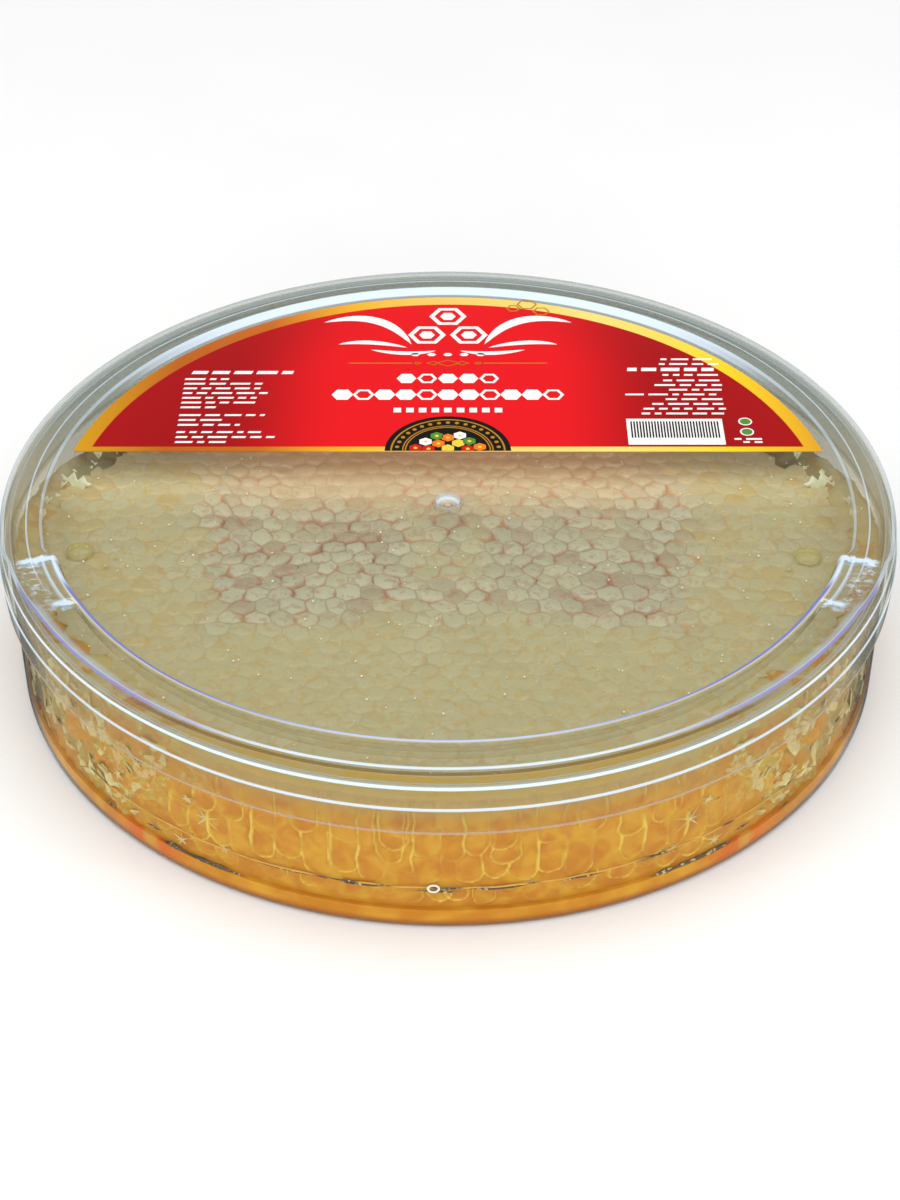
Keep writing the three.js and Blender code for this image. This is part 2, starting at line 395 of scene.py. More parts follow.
def run_honey():
    """Free honey, amber in front, orange further round, with painted shade at the tub's foot and a faint
    painted glow.
    """
    finish = Finish("run_honey")
    x, y, z = finish.axes()
    x = abs(x)
    cloud = finish.grain(9, 3)
    ragged = finish.grain(1.6, 4, 0.65)
    amber = finish.blend(colour(186, 118, 14), colour(204, 146, 38), cloud.span(0.35, 0.65))
    front = (1 - y.span(-50, -20)) * 0.7
    amber = finish.blend(amber, colour(208, 90, 24), line(x, 68, 2.5, 12) * front)
    wax_break = line(x + ragged * 5, 70.8, 0.4, 2.6)
    amber = finish.blend(amber, colour(198, 156, 62), wax_break * front)
    # Painted shade darkening the honey at the tub's foot, most towards the sides.
    foot_shade = finish.blend(colour(150, 84, 14), colour(70, 44, 12), x.span(60, 98))
    shade = finish.blend(foot_shade, amber, z.span(0.8, 3.2))
    return finish.done(finish.principled(
        Base_Color=shade, Roughness=0.2, Coat_Weight=0.1, Coat_Roughness=0.05,
        Specular_IOR_Level=0.2, Emission_Color=shade, Emission_Strength=0.14,
    ))


def clear_honey(name, tint, cover):
    """A drop of clear honey or a bubble's bright skin, with a faint painted glow of its tint."""
    finish = Finish(name)
    facing = finish.get("LayerWeight", "Facing", sockets={"Blend": 0.5})
    body = finish.principled(
        Base_Color=tint, Roughness=0.08, Coat_Weight=1.0, Coat_Roughness=0.03,
        Alpha=(facing * 0.5 + cover).held(), Emission_Color=tint, Emission_Strength=0.08,
    )
    return finish.done(body)


def printed_film():
    """The label's red film, brightest in the middle, inside a gold border painted with the foil's
    reflections.
    """
    finish = Finish("printed_film")
    x, y, _ = finish.axes()
    reach = (x * x + y * y).math("SQRT")
    side = abs(x)
    red = finish.blend(colour(222, 20, 28), colour(152, 8, 14), side.span(26, 60))
    outer = (reach.span(70, 96) * side.span(10, 50) * 0.5).held()
    red = finish.blend(red, colour(166, 12, 18), outer)
    # The gold's stops across the label paint the foil's reflections, from dull red-brown to pale.
    gold = finish.get("ValToRGB", sockets={0: (x + 100) / 200}, stops=[
        (0.02, colour(203, 148, 24)), (0.14, colour(176, 92, 28)),
        (0.26, colour(188, 100, 32)), (0.38, colour(238, 172, 40)),
        (0.46, colour(240, 190, 90)), (0.7, colour(246, 214, 120)), (0.86, colour(250, 206, 40)),
        (1.0, colour(206, 140, 34)),
    ])
    border = (reach.span(93.3, 93.5) + (1 - y.span(21.9, 22.05))).held()
    speck = finish.grain(0.6, 2)
    shade = finish.blend(red, gold, border)
    return finish.done(finish.principled(
        Base_Color=shade, Roughness=speck * 0.06 + 0.34, Specular_IOR_Level=0.12,
        Normal=finish.bump(speck, 0.01, 0.3),
    ))


def ink(name, shade, metal=0.0):
    """A printed or foiled colour with a little unevenness."""
    finish = Finish(name)
    speck = finish.grain(0.5, 2)
    duller = tuple(channel * 0.86 for channel in shade)
    return finish.done(finish.principled(
        Base_Color=finish.blend(duller, shade, speck.span(0.3, 0.6)), Metallic=metal,
        Roughness=speck * 0.1 + 0.34, Specular_IOR_Level=0.12,
    ))


def studio_floor():
    finish = Finish("studio_floor")
    pale = finish.blend((0.88, 0.88, 0.88), (0.92, 0.92, 0.92), finish.grain(60, 2))
    return finish.done(finish.principled(Base_Color=pale, Roughness=0.7))


# Mesh helpers

def smooth_step(low, high, number):
    share = min(max((number - low) / (high - low), 0), 1)
    return share * share * (3 - 2 * share)


def azimuth_of(spot):
    return math.degrees(math.atan2(spot.x, -spot.y))


def at_azimuth(radius, azimuth, height):
    turn = math.radians(azimuth)
    return Vector((radius * math.sin(turn), -radius * math.cos(turn), height))


def lumps(spot, size, seed=0):
    """Smooth noise between -1 and 1 with lumps of about size millimetres."""
    return noise.noise(Vector(spot) / size + Vector((seed, seed * 1.7, seed * 0.3)))


def bay_share(azimuth):
    """How much of a torn bay there is at an azimuth, 0 to 1."""
    offset = (abs(azimuth) - BAY_AZIMUTH) / BAY_HALF_WIDTH
    return math.exp(-offset * offset)


def wall_radius(height):
    """The inner radius of the tub's wall."""
    share = (height - WALL_FOOT) / (MOUTH_HEIGHT - WALL_FOOT)
    return WALL_RADIUS + WALL_FLARE * share


def bay_depth(azimuth, height):
    """How far a torn bay sets the comb's side back from the wall."""
    return BAY_DEPTH * bay_share(azimuth) * smooth_step(9, 26, height)


def spun(degrees, axis="Z"):
    return Matrix.Rotation(math.radians(degrees), 4, axis)


def moved(x, y, z):
    return Matrix.Translation((x, y, z))


def edges_of(verts):
    return list({edge for vert in verts for edge in vert.link_edges})


def mirrored(bm):
    """Adds the same shapes on the other side of x = 0, with all normals outward."""
    bmesh.ops.mirror(bm, geom=bm.verts[:] + bm.edges[:] + bm.faces[:], axis="X", merge_dist=1e-5)
    bmesh.ops.recalc_face_normals(bm, faces=bm.faces)


def float_layers(bm, *names):
    return {name: bm.verts.layers.float.new(name) for name in names}


def finished(name, bm, finishes, replaced=(), sharp=40):
    """A piece of the object from its bmesh in millimetres. It rides on the part's one body."""
    bmesh.ops.scale(bm, vec=(MM, MM, MM), verts=bm.verts)
    mesh = bpy.data.meshes.new(name)
    bm.to_mesh(mesh)
    bm.free()
    mesh.polygons.foreach_set("use_smooth", [True] * len(mesh.polygons))
    mesh.set_sharp_from_angle(angle=math.radians(sharp))
    for material in finishes:
        mesh.materials.append(material)
    piece = bpy.data.objects.new(name, mesh)
    bpy.context.collection.objects.link(piece)
    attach(piece, "root")
    if replaced:
        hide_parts(*replaced)


def rounded(corners, steps=4):
    """Section points (radius, height, edge) through corners (radius, height, rounding, edge, run).

    A corner is eased over its rounding and carries its edge value, the strength of the painted
    highlight there. run is the edge value of the straight run to the next corner.
    """
    points = []
    last = len(corners) - 1
    for i, (radius, height, rounding, edge, run) in enumerate(corners):
        here = Vector((radius, height))
        if i in (0, last) or not rounding:
            points.append((radius, height, edge))
            continue
        back = (Vector(corners[i - 1][:2]) - here).normalized() * rounding
        onward = (Vector(corners[i + 1][:2]) - here).normalized() * rounding
        points.append((*(here + back * 1.5), corners[i - 1][4]))
        for step in range(steps + 1):
            t = step / steps
            spot = (here + back) * (1 - t) ** 2 + here * (2 * t * (1 - t))
            spot += (here + onward) * t ** 2
            points.append((*spot, edge))
        points.append((*(here + onward * 1.5), run))
    return points


def turned(section_at, steps, closed=False):
    """A body turned round the axis, whose section may change with the azimuth.

    A section point is (radius, height, edge); the edge value, the strength of a painted highlight, is
    kept in a vertex layer. A grid is rolled up into the body, which is quicker than a spin of thousands
    of points.
    """
    bm = bmesh.new()
    ring = bm.verts.layers.int.new("ring")
    edge = bm.verts.layers.float.new("edge")
    azimuths = [360 * turn / steps - 180 for turn in range(steps)]
    sections = [section_at(azimuth) for azimuth in azimuths]
    points = len(sections[0])
    rows = points - 1 + closed
    bmesh.ops.create_grid(bm, x_segments=steps, y_segments=rows, size=0.5)
    for vert in bm.verts:
        turn = round((vert.co.x + 0.5) * steps) % steps
        vert[ring] = round((vert.co.y + 0.5) * rows) % points
        radius, height, shine = sections[turn][vert[ring]]
        vert.co = at_azimuth(radius, azimuths[turn], height)
        vert[edge] = shine
    bmesh.ops.remove_doubles(bm, verts=bm.verts, dist=1e-4)
    bmesh.ops.recalc_face_normals(bm, faces=bm.faces)
    return bm


# The clear pack

def crest_share(azimuth):
    """How far the crescent has risen at an azimuth, 0 to 1, with flat ramps at its ends."""
    return min(max((RAMP_END - abs(azimuth)) / (RAMP_END - RAMP_START), 0), 1)


def lid_section(azimuth):
    """The lid's section from its middle out over the crescent, and back along the underside.

    Each corner of the crescent is given as it is on the plain rim and as it is on the crest.
    """
    raised = crest_share(azimuth)
    spread = 1 - smooth_step(RAMP_END, RAMP_END + 1.6, abs(azimuth))

    def either(plain, crest):
        radius = plain[0] + (crest[0] - plain[0]) * spread
        return (radius, *(a + (b - a) * raised for a, b in zip(plain[1:], crest[1:])))

    panel = PANEL_HEIGHT
    under = PANEL_HEIGHT - LID_WALL
    rim = RIM_HEIGHT
    bead = BEAD_RADIUS
    inner = CREST_INNER_HEIGHT
    # shine and soft are strengths of painted highlights, as is the edge value of each point and corner
    # below.
    shine = smooth_step(112, 146, abs(azimuth))
    broad = 0.34 + 0.2 * smooth_step(22, 46, abs(azimuth))
    soft = 0.5 * smooth_step(16, 50, abs(azimuth)) * (1 - smooth_step(60, 66, abs(azimuth)))
    crest_slope = (CREST_HEIGHT - CREST_INNER_HEIGHT) / 10
    on_crest = CREST_INNER_HEIGHT + crest_slope * (bead - 98.2)
    well = panel - GATE_DEPTH
    gate = [
        (0, well + 0.2, 0.2), (0.5, well + 0.2, 0.4), (0.8, well, 0), (1.3, well, 0),
        (1.6, well + 0.3, 0.6), (1.9, well, 0.1), (2.4, well, 0.5), (2.8, well + 0.3, 1.0),
        (3.1, well + 0.8, 0.5), (3.5, panel - 0.2, 0), (3.8, panel, 0), (4.2, panel, 0),
    ]
    corners = [
        (5.5, panel, 0, 0, 0),
        (PANEL_EDGE, panel, 0, 0, 0),
        either((98.2, panel, 0.5, 0.2 * shine, 0.85 * shine), (96.6, panel, 0.4, 0.05, 0)),
        either((99.9, rim - 0.15, 0.4, 0.3 + 0.5 * shine, 0), (97.6, inner - 0.1, 0.7, 0.8, 0.75)),
        either((100.2, rim, 0, 0, 0), (98.7, inner + 0.12, 0, 0.6, 0)),
        either((100.9, rim, 0, 0, 0), (99.6, inner + 0.2, 0, 0, 0)),
        either((bead - 0.5, rim, 0.1, 0, 0), (bead - 0.5, on_crest - 0.05, 0.1, 0, 0)),
        either((bead, rim + 0.25, 0.2, 0.4, 0), (bead, on_crest, 0.2, 0, 0)),
        either((bead + 0.5, rim, 0.1, 0, 0), (bead + 0.5, on_crest + 0.05, 0.1, 0, 0)),
        either((106, rim, 0, 0, 0), (106, CREST_HEIGHT - 0.28, 0, 0.05, 0.1)),
        either((107, rim, 0, 0, 0), (107.2, CREST_HEIGHT - 0.14, 0, soft, soft)),
        either((109.2, rim, 0.4, 0.3, 0.1), (108.5, CREST_HEIGHT, broad, 0.8, 0)),
        either((LID_RADIUS, rim - 0.7, 0.35, 0.35, 0), (LID_RADIUS, rim - 0.7, 0.36, 0.95, 0)),
        (LID_RADIUS, STEP_HEIGHT + 0.6, 0.3, 0, 0),
        (LID_RADIUS + 0.8, STEP_HEIGHT, 0.32, 0.85, 0),
        (LID_RADIUS + 0.2, SKIRT_FOOT, 0.15, 0.35, 0.1),
        (LID_RADIUS - 0.9, SKIRT_FOOT, 0.15, 0.1, 0),
        (LID_RADIUS - 0.2, STEP_HEIGHT - 0.8, 0.4, 0, 0),
        (LID_RADIUS - LID_WALL, rim - LID_WALL, 0.5, 0, 0),
        either((107.1, rim - LID_WALL, 0.5, 0, 0), (107.4, CREST_HEIGHT - LID_WALL, 0.5, 0, 0)),
        either((101.2, rim - LID_WALL, 0.5, 0, 0), (98.7, inner - LID_WALL, 0.5, 0, 0)),
        either((99.1, under, 0.4, 0, 0), (97.6, under, 0.4, 0, 0)),
        (PANEL_EDGE, under, 0, 0, 0),
        (4, under, 0, 0, 0),
        (3.2, well - 0.9, 0, 0, 0),
        (0, well - 0.9, 0, 0, 0),
    ]
    return gate + rounded(corners)


def tub_section(_azimuth):
    return rounded([
        (0, TUB_WALL, 0, 0, 0),
        (FOOT_RADIUS - 0.7, TUB_WALL, 0.1, 0, 0),
        (HEEL_RADIUS - HEEL_ROUND - TUB_WALL, TUB_WALL + HEEL_ROUND, 0.1, 0, 0),
        (HEEL_RADIUS - TUB_WALL, HEEL_HEIGHT + TUB_WALL, 0.3, 0, 0),
        (wall_radius(32), 32, 0, 0, 0),
        (wall_radius(36), 36, 0, 0, 0),
        (MOUTH_RADIUS - TUB_WALL, MOUTH_HEIGHT, 0.3, 0.5, 0.3),
        (MOUTH_RADIUS, MOUTH_HEIGHT, 0.3, 0.5, 0),
        (wall_radius(36) + TUB_WALL, 36, 0, 0, 0),
        (wall_radius(32) + TUB_WALL, 32, 0, 0, 0),
        (HEEL_RADIUS, HEEL_HEIGHT, 0.4, 0, 0),
        (HEEL_RADIUS - HEEL_ROUND, HEEL_ROUND, 0.2, 0.1, 0.1),
        (FOOT_RADIUS, 0, 0.2, 0.1, 0),
        (0, 0, 0, 0, 0),
    ])


def misted(bm, mist_at):
    """Gives a clear moulding its haze, from each vertex's radius, height and azimuth."""
    mist = bm.verts.layers.float.new("mist")
    for vert in bm.verts:
        spot = vert.co
        vert[mist] = mist_at(math.hypot(spot.x, spot.y), spot.z, azimuth_of(spot))
    return bm


def lid_mist(radius, height, azimuth):
    back = smooth_step(58, 78, abs(azimuth))
    if radius < 96.5:
        return 0.03
    if height > RIM_HEIGHT - 1.3 and radius < 109.6:
        return 0.05 + 0.2 * back
    if height > STEP_HEIGHT + 0.4:
        return 0.14 + 0.12 * back
    return 0.02 + 0.12 * back


def tub_mist(radius, height, azimuth):
    back = smooth_step(70, 110, abs(azimuth))
    above_comb = smooth_step(33, 36, height)
    return 0.02 + 0.38 * back * max(above_comb, 0.8 * bay_share(azimuth))


def make_pack():
    """The lid and the tub. The lid's flat panel, with none of the crest's painted lines, has a plainer
    finish.
    """
    lid_finishes = [
        clear_plastic(name, (0.96, 0.965, 0.95), (0.2, 0.32, 0.3), colour(178, 162, 120),
                      colour(150, 160, 152), 0.2, with_painted_lines)
        for name, with_painted_lines in (("clear_lid", True), ("clear_lid_panel", False))
    ]
    tub_finish = clear_plastic(
        "clear_tub", (0.95, 0.955, 0.93), (0.04, 0.035, 0.02), colour(166, 152, 110),
        colour(128, 132, 118), 0.15)
    lid = misted(turned(lid_section, 360), lid_mist)
    for face in lid.faces:
        face.material_index = int(all(vert.co.xy.length < PANEL_EDGE + 0.5 for vert in face.verts))
    finished("lid_shell", lid, lid_finishes, ["lid"])
    tub = misted(turned(tub_section, 240), tub_mist)
    finished("tub_shell", tub, [tub_finish], ["tub"])


# The comb

def comb_reach(azimuth):
    """The comb's radius at the height of its caps."""
    return COMB_RADIUS - BAY_DEPTH * bay_share(azimuth)


def capped_centres():
    """The cells whose caps show, on a regular lattice."""
    row_step = CELL_PITCH * math.sqrt(3) / 2
    rows = math.ceil(COMB_RADIUS / row_step)
    for row in range(-rows, rows + 1):
        for column in range(-rows, rows + 1):
            spot = Vector(((column + (row % 2) / 2) * CELL_PITCH, row * row_step, 0))
            azimuth = azimuth_of(spot)
            margin = CELL_CORNER + 5.2 * (1 - smooth_step(50, 70, abs(azimuth)))
            if spot.length + margin <= comb_reach(azimuth):
                yield spot


def film_share(spot):
    """Where a smooth golden film runs over the caps, 0 to 1: in front and at both sides."""
    ahead = smooth_step(24, 50, -spot.y - 0.12 * abs(spot.x))
    aside = smooth_step(50, 78, abs(spot.x) + 0.25 * abs(spot.y))
    patch = lumps((abs(spot.x), spot.y, 0), 13, 5)
    smooth = max(ahead, 0.95 * aside)
    return min(max(smooth + patch * (0.9 - 0.6 * smooth), 0), 1)


def wet_share(spot):
    """Small pools of honey between the caps, 0 to 1: most at both sides and near the wall."""
    reach = Vector((spot.x, spot.y)).length
    near = max(smooth_step(46, 76, abs(spot.x)), smooth_step(70, 96, reach))
    return near * smooth_step(0.2, 0.42, lumps((abs(spot.x), spot.y, 0), 5.5, 21))


def deep_share(spot):
    """Where the caps stand apart, 0 to 1."""
    film = film_share(spot)
    gaps = lumps((spot.x, spot.y, 0), 4.2, 13) + 0.25 * lumps((spot.x, spot.y, 0), 19, 15)
    return smooth_step(-0.08, 0.3, gaps) * (1 - 0.5 * film)


def make_caps(wax):
    """A sheet of six-sided cells, each raised into a flat cap, closed below into a block.

    Every vertex keeps how high it lies on its cap, how deep the gaps near it are, its cap's tone,
    and how far film and honey cover it. The finish paints shade from the first two.
    """
    draws = random.Random(11)
    bm = bmesh.new()
    for spot in capped_centres():
        place = moved(spot.x, spot.y, COMB_TOP)
        bmesh.ops.create_circle(bm, cap_ends=True, segments=6, radius=CELL_CORNER, matrix=place)
    bmesh.ops.remove_doubles(bm, verts=bm.verts, dist=0.1)
    bmesh.ops.recalc_face_normals(bm, faces=bm.faces)
    for vert in bm.verts:
        warp = Vector((lumps(vert.co, 26, 1), lumps(vert.co, 26, 2), 0)) * 3.0
        vert.co += warp + Vector((draws.uniform(-0.6, 0.6), draws.uniform(-0.6, 0.6), 0))
    bmesh.ops.bisect_edges(bm, edges=bm.edges, cuts=1)
    names = ("lift", "sink", "tone", "film", "wet")
    layers = float_layers(bm, *names)
    for vert in bm.verts:
        film = film_share(vert.co)
        deep = deep_share(vert.co)
        vert[layers["film"]] = film
        vert[layers["wet"]] = wet_share(vert.co)
        vert[layers["sink"]] = deep
        vert[layers["tone"]] = 0.3
        vert.co += Vector((draws.uniform(-0.2, 0.2), draws.uniform(-0.2, 0.2), 0))
        vert[layers["lift"]] = 0.14 + 0.42 * film
        vert.co.z -= (0.05 + 0.8 * deep) * (1 - film) ** 1.5 + 0.2
    cells = list(bm.faces)
    bmesh.ops.inset_individual(bm, faces=cells, thickness=0.3, depth=0, use_even_offset=True)
    shoulders = [list(cell.verts) for cell in cells]
    bmesh.ops.inset_individual(bm, faces=cells, thickness=0.5, depth=0, use_even_offset=True)
    tops = [list(cell.verts) for cell in cells]
    peaks = bmesh.ops.poke(bm, faces=cells, offset=0, center_mode="MEAN")["verts"]
    for shoulder, top, peak in zip(shoulders, tops, peaks):
        centre = peak.co.copy()
        film = film_share(centre)
        calm = 1 - 0.6 * film
        level = COMB_TOP + draws.uniform(-0.34, 0.2) * calm
        lean = Vector((draws.uniform(-0.1, 0.1), draws.uniform(-0.16, 0.06), 0)) * calm
        tone = draws.random()
        wet = wet_share(centre)
        sag = 0.8 * (draws.random() < 0.06)
        shift = Vector((draws.uniform(-0.1, 0.1), draws.uniform(-0.1, 0.1), 0))
        mean = sum((vert.co - centre).xy.length for vert in top) / len(top)
        for ring, low in ((shoulder, 0.19 * calm), (top, 0.0), ([peak], sag * calm - 0.04)):
            size = mean * (1.2 if ring is shoulder else 1)
            for vert in ring:
                arm = (vert.co - centre) * Vector((1, 1, 0))
                deep = deep_share(vert.co)
                if arm.length > 0.1:
                    arm *= 1 + 0.16 * min(size / arm.length - 1, 0) + draws.uniform(-0.06, 0)
                    arm *= 1 - 0.1 * deep * (arm.y < 0.5)
                vert.co = centre + arm + shift
                ahead = ring is shoulder and arm.y < 0.3
                vert.co.z = level - low - 0.3 * deep * ahead * calm + arm.dot(lean)
                vert.co.z += 0.12 * lumps(vert.co, 2.1, 17)
                # Deep gaps lower lift on a shoulder's front side, where the finish then paints shade.
                lift = 0.9 - 0.5 * deep * ahead if ring is shoulder else 1
                for name, value in zip(names, (lift, deep, tone, film, wet)):
                    vert[layers[name]] = value
    rim = [edge for edge in bm.edges if edge.is_boundary]
    for height, pull in ((COMB_TOP - 4, 1.0), (HONEY_LEVEL + 0.4, 0.985)):
        made = bmesh.ops.extrude_edge_only(bm, edges=rim)["geom"]
        rim = [part for part in made if isinstance(part, bmesh.types.BMEdge)]
        for vert in {vert for edge in rim for vert in edge.verts}:
            vert.co = Vector((vert.co.x * pull, vert.co.y * pull, height))
    floor = bmesh.ops.contextual_create(bm, geom=rim)["faces"]
    bmesh.ops.poke(bm, faces=floor)
    bmesh.ops.recalc_face_normals(bm, faces=bm.faces)
    finished("comb_caps", bm, [wax], ["honeycomb"], sharp=75)


def cut_cells():
    """The cells cut open round the side, as (tier, place round the wall, half width, foot).

    Tier 1 stands on the midrib, tier 2 hangs down to the seam and tier 3 is below it. Places are
    millimetres along the wall from the front, the same to the left and the right.
    """
    draws = random.Random(7)
    right = [
        (1, 11.8, 3.0, 22.6), (1, 12.9, 3.1, 18.2), (1, 22.6, 3.2, 22.8), (1, 32.0, 3.1, 24.2),
        (2, 4.6, 3.0, 12.9), (2, 10.6, 2.8, 14.4), (2, 16.8, 3.0, 12.6), (2, 23.0, 2.9, 14.0),
        (3, 1.9, 2.6, 7.4), (3, 8.2, 2.6, 6.6), (3, 14.0, 2.4, 8.4), (3, 19.9, 3.2, 6.3),
        (3, 30.2, 3.1, 7.7),
    ]
    for tier, start, foot in ((1, 41.5, 21.0), (2, 29.4, 13.4), (3, 39.8, 7.0)):
        place = start
        while place < math.pi * SIDE_RADIUS:
            right.append((tier, place, draws.uniform(2.7, 3.2), foot + draws.uniform(-1.8, 2.2)))
            place += draws.uniform(5.9, 9.6) if tier == 1 else draws.uniform(5.4, 6.6)
    left = [(tier, -place, half, foot) for tier, place, half, foot in right]
    centre = [(1, 0.9, 2.6, 19.6), (1, -4.9, 2.6, 20.8), (1, 6.2, 2.5, 21.4)]
    return right + left + centre


def cell_outline(cell, place, height):
    """The signed distance to a cell's outline, negative inside. Its top is open, its foot round."""
    _, centre, half, foot = cell
    across = place - centre
    drop = min(height - (foot + half), 0)
    return math.hypot(across, drop) - half


TIER_TOPS = {1: 99, 2: 26, 3: SEAM_HEIGHT}
RIB_WIDTH = 0.3


def rib_height(cells, place, height):
    """How much of a wax wall shows at a place on the wall, 0 to 1. Upper tiers cover lower ones."""
    strongest = 0
    for tier in (1, 2, 3):
        if height > TIER_TOPS[tier]:
            continue
        if tier == 3 and height > SEAM_HEIGHT or tier == 2 and height < SEAM_HEIGHT:
            continue
        inside = False
        for cell in cells[tier].get(int(place // 8), ()):
            gap = cell_outline(cell, place, height)
            strongest = max(strongest, math.exp(-(gap / RIB_WIDTH) ** 2))
            inside = inside or gap < 0
        if inside:
            break
    return strongest


def cells_by_place():
    """The cut cells of each tier, listed by the 8 mm stretch of wall that they can reach."""
    listed = {1: {}, 2: {}, 3: {}}
    for cell in cut_cells():
        tier, place, half, _ = cell
        for stretch in range(int((place - half - 1.5) // 8), int((place + half + 1.5) // 8) + 1):
            listed[tier].setdefault(stretch, []).append(cell)
    return listed


# Honey patches in the torn wax, as (azimuth, height, half width, half height), left and right
AMBER_PATCHES = [
    (42, 32, 4.5, 4.6), (35, 29, 1.2, 6.5), (54, 20, 4, 4), (38, 12, 7, 3), (47, 17, 4, 3),
    (63, 8, 9, 3), (27, 35.6, 2.5, 2), (70, 26, 3, 6), (88, 14, 8, 6), (104, 22, 5, 7),
    (140, 18, 8, 8), (160, 10, 9, 5), (150, 30, 3, 4),
]


def torn_share(azimuth, height):
    """Where the cut side gives way to torn wax, 0 to 1."""
    side = abs(azimuth) + 5 * noise.noise(Vector((azimuth / 6, height / 5, 3)))
    start = 34 - 7 * smooth_step(20, 30, height) + 5 * smooth_step(12, 6, height)
    return smooth_step(start, start + 8, side) * (1 - 0.75 * smooth_step(150, 162, side))


def amber_share(azimuth, height):
    most = 0
    for centre, level, wide, tall in AMBER_PATCHES:
        away = math.hypot((abs(azimuth) - centre) / wide, (height - level) / tall)
        away += 0.35 * noise.noise(Vector((azimuth / 3, height / 2.5, 9)))
        most = max(most, 1 - smooth_step(0.75, 1.1, away))
    return most


def side_section():
    """The comb's cut side from its foot up, over its crest and back under the caps.

    A point is (depth from the wall, height).
    """
    wall = [(0, COMB_FOOT + 0.45 * i) for i in range(72)]
    crest = [(0.5, 37.2), (1.3, 37.7), (2.8, 37.5), (4.6, 37.0),
             (6.6, 36.3), (8.8, 35.5), (11, 34.8), (13, 34)]
    inside = [(14.5, 32.4), (14.5, 10), (4, COMB_FOOT)]
    return wall + crest + inside


def make_side(comb):
    """The cut and torn side of the comb, against the tub's wall. Its steps are finest in front."""
    profile = side_section()
    section = [(SIDE_RADIUS - depth, height, 0) for depth, height in profile]
    bm = turned(lambda azimuth: section, 1000, closed=True)
    layers = float_layers(bm, "rib", "torn", "amber", "crest")
    ring = bm.verts.layers.int["ring"]
    cells = cells_by_place()
    for vert in bm.verts:
        even = azimuth_of(vert.co)
        azimuth = even - 0.42 * math.degrees(math.sin(math.radians(even)))
        depth, height = profile[vert[ring]]
        place = math.radians(azimuth) * SIDE_RADIUS
        torn = torn_share(azimuth, height)
        sunk = bay_depth(azimuth, height)
        spot = at_azimuth(SIDE_RADIUS, azimuth, height)
        if depth == 0:
            wobble = 0.8 * lumps((place, height, 0), 4.4, 4)
            rib = rib_height(cells, place + wobble, height + wobble) * (1 - 0.8 * torn)
            rib *= 0.45 + 0.55 * smooth_step(-0.35, 0.3, lumps((place, height, 0), 6, 14))
            hollow = 0.75 * (1 - rib) * (1 - torn)
            rugged = 0.9 + 1.3 * lumps(spot, 3.4, 6) + 0.8 * lumps(spot, 1.5, 7)
            radius = wall_radius(height) + 0.25 - hollow - torn * max(0, rugged) - sunk
        else:
            rib = max(0, math.cos(place * 2 * math.pi / 5.3)) ** 12 * (1 - torn)
            low = 3.4 * smooth_step(46, 72, abs(azimuth)) * min(depth / 2, 1) * (height > 30)
            rugged = (0.25 + 0.75 * torn) * (lumps(spot, 4.5, 8) + 0.6 * lumps(spot, 1.8, 9))
            radius = wall_radius(height) + 0.25 - depth - sunk
            height = height - low * 0.8 + rugged * (height > 30)
        vert[layers["rib"]] = rib
        vert[layers["torn"]] = torn
        vert[layers["amber"]] = amber_share(azimuth, height)
        vert[layers["crest"]] = smooth_step(0.4, 1.6, depth) * (height > 30)
        vert.co = at_azimuth(radius, azimuth, height)
    bmesh.ops.recalc_face_normals(bm, faces=bm.faces)
    finished("comb_side", bm, [comb], ["honeycomb"], sharp=80)


def make_shards(wax):
    """Thin torn plates of wax pressed against the wall, ragged and pale at their edges."""
    draws = random.Random(57)
    bm = bmesh.new()
    layers = float_layers(bm, "soaked", "rim")
    for _ in range(280):
        azimuth, height = draws.uniform(34, 112), draws.uniform(6.5, 33.5)
        if torn_share(azimuth, height) < 0.6 or amber_share(azimuth, height) > 0.2:
            continue
        size = draws.uniform(1.4, 4.4)
        made = bmesh.ops.create_circle(bm, cap_ends=True, segments=10, radius=size)["verts"]
        plate = made[0].link_faces[0]
        soaked = draws.random() ** 0.6
        for vert in made:
            vert.co *= draws.uniform(0.7, 1.2)
            vert.co.y *= 0.8
            vert[layers["rim"]] = 1
        bmesh.ops.inset_individual(bm, faces=[plate], thickness=0.12 * size, depth=0.08 * size)
        made += list(plate.verts)
        made += bmesh.ops.poke(bm, faces=[plate])["verts"]
        for vert in made:
            vert[layers["soaked"]] = soaked
        spin = Matrix.Rotation(draws.uniform(0, 6.28), 4, "Z")
        tilt = spun(draws.uniform(-30, 30), "X")
        tilt = tilt @ spun(draws.uniform(-30, 30), "Y")
        reach = wall_radius(height) - 0.35 * size - bay_depth(azimuth, height)
        place = moved(*at_azimuth(reach, azimuth, height)) @ spun(azimuth) @ spun(90, "X")
        bmesh.ops.transform(bm, verts=made, matrix=place @ tilt @ spin)
    for vert in bm.verts:
        reach = wall_radius(vert.co.z) + 0.3
        if vert.co.xy.length > reach:
            vert.co.xy *= reach / vert.co.xy.length
    bmesh.ops.recalc_face_normals(bm, faces=bm.faces)
    bmesh.ops.solidify(bm, geom=bm.faces, thickness=0.2)
    mirrored(bm)
    finished("wax_shards", bm, [wax], sharp=35)


